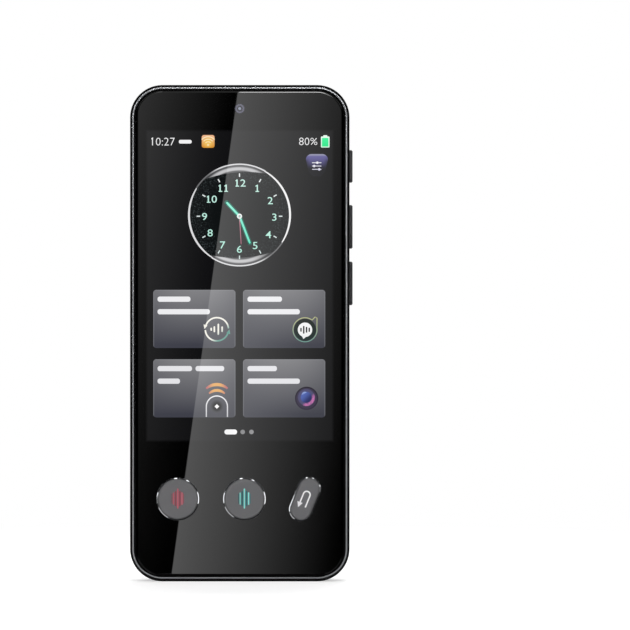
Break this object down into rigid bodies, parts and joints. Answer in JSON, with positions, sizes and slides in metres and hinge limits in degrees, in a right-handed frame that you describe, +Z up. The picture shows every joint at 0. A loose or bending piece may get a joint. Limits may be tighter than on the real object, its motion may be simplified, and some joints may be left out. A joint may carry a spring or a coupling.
{
  "type": "handheld translator",
  "caption": "Slim upright handheld translator with a glass front, round and pill-shaped front keys, side keys, a rear camera and a loudspeaker that sounds through its rear cover.",
  "frame": {"origin": "middle of the flat bottom edge of the front frame, on which the part stands", "axes": "+Z up along the height, -Y out of the screen, +X to the right seen from the front"},
  "size_m": [0.0619, 0.0131, 0.138],
  "materials": {
    "frame_black": "fine satin moulding, black",
    "bright_trim": "thin polished trim",
    "cover_glass": "black-printed glass, polished",
    "tape": "black adhesive tape",
    "screen_cell": "glossy dark cell",
    "backlight_sheet": "white reflector sheet",
    "foam": "open foam",
    "flex_film": "amber film",
    "plate_steel": "pressed sheet",
    "cover_grey": "soft matt moulding, grey",
    "camera_plate": "black, turned, glossy",
    "lens_glass": "coated lens",
    "module_black": "moulded module",
    "speaker_plastic": "moulded basket",
    "magnet_steel": "plated yoke and magnet",
    "cone_film": "polymer film",
    "mesh_cloth": "fine dust mesh",
    "board": "solder mask, green",
    "chip": "moulded package",
    "connector": "ivory moulding",
    "gold_plate": "gold-plated",
    "cable_black": "smooth insulation",
    "pouch": "laminated pouch",
    "lead_red": "smooth insulation",
    "key_grey": "satin moulding, grey",
    "dome_steel": "sprung sheet"
  },
  "bodies": {
    "body": {"front_frame": "frame_black", "bezel_ring": "bright_trim", "cover_lens": "cover_glass", "lens_tape": "tape", "touch_sensor": "screen_cell", "lcd_panel": "screen_cell", "backlight": "backlight_sheet", "lcd_foam": "foam", "lcd_flex": "flex_film", "touch_flex": "flex_film", "mid_plate": "plate_steel", "rear_cover": "cover_grey", "camera_bezel": "camera_plate", "camera_window": "lens_glass", "camera_gasket": "foam", "rear_camera_body": "module_black", "rear_camera_flex": "flex_film", "front_camera": "module_black", "front_camera_lens": "lens_glass", "front_camera_flex": "flex_film", "speaker_frame": "speaker_plastic", "speaker_magnet": "magnet_steel", "speaker_surround": "foam", "speaker_gasket": "foam", "speaker_mesh": "mesh_cloth", "main_board": "board", "shield_cans": "plate_steel", "board_chips": "chip", "board_connectors": "connector", "key_board": "board", "charge_socket": "plate_steel", "socket_tongue": "module_black", "microphone": "gold_plate", "microphone_boot": "tape", "antenna_carrier": "speaker_plastic", "cellular_antenna": "gold_plate", "antenna_cable": "cable_black", "battery": "pouch", "battery_tape": "tape", "battery_lead": "lead_red", "board_link_flex": "flex_film", "side_key_flex": "flex_film", "power_key_dome": "dome_steel", "upper_key_dome": "dome_steel", "lower_key_dome": "dome_steel", "left_key_dome": "dome_steel", "middle_key_dome": "dome_steel", "back_key_dome": "dome_steel", "key_rings": "bright_trim", "sim_socket": "plate_steel", "screws": "plate_steel"},
    "left_talk_key": {"left_talk_key": "key_grey"},
    "middle_talk_key": {"middle_talk_key": "key_grey"},
    "back_key": {"back_key": "key_grey"},
    "power_key": {"power_key": "frame_black"},
    "upper_side_key": {"upper_side_key": "frame_black"},
    "lower_side_key": {"lower_side_key": "frame_black"},
    "sim_tray": {"sim_tray": "frame_black"},
    "rear_camera_lens": {"rear_camera_lens": "lens_glass"},
    "speaker_cone": {"speaker_cone": "cone_film"}
  },
  "joints": [
    {"name": "left_key_press", "type": "slide", "parent": "body", "child": "left_talk_key", "axis": [0, 1, 0], "range_m": [0, 0.00025], "stiffness_N_per_m": 5000, "deforming": ["left_key_dome"]},
    {"name": "middle_key_press", "type": "slide", "parent": "body", "child": "middle_talk_key", "axis": [0, 1, 0], "range_m": [0, 0.00025], "stiffness_N_per_m": 5000, "deforming": ["middle_key_dome"]},
    {"name": "back_key_press", "type": "slide", "parent": "body", "child": "back_key", "axis": [0, 1, 0], "range_m": [0, 0.00025], "stiffness_N_per_m": 5000, "deforming": ["back_key_dome"]},
    {"name": "power_key_press", "type": "slide", "parent": "body", "child": "power_key", "axis": [-1, 0, 0], "range_m": [0, 0.00025], "stiffness_N_per_m": 5000, "deforming": ["power_key_dome"]},
    {"name": "upper_key_press", "type": "slide", "parent": "body", "child": "upper_side_key", "axis": [-1, 0, 0], "range_m": [0, 0.00025], "stiffness_N_per_m": 5000, "deforming": ["upper_key_dome"]},
    {"name": "lower_key_press", "type": "slide", "parent": "body", "child": "lower_side_key", "axis": [-1, 0, 0], "range_m": [0, 0.00025], "stiffness_N_per_m": 5000, "deforming": ["lower_key_dome"]},
    {"name": "tray_slide", "type": "slide", "parent": "body", "child": "sim_tray", "axis": [-1, 0, 0], "range_m": [0, 0.0185]},
    {"name": "focus_slide", "type": "slide", "parent": "body", "child": "rear_camera_lens", "axis": [0, 1, 0], "range_m": [0, 0.00025], "stiffness_N_per_m": 100},
    {"name": "cone_slide", "type": "slide", "parent": "body", "child": "speaker_cone", "axis": [0, 1, 0], "range_m": [-0.00025, 0.00025], "stiffness_N_per_m": 2000, "deforming": ["speaker_surround"]}
  ]
}
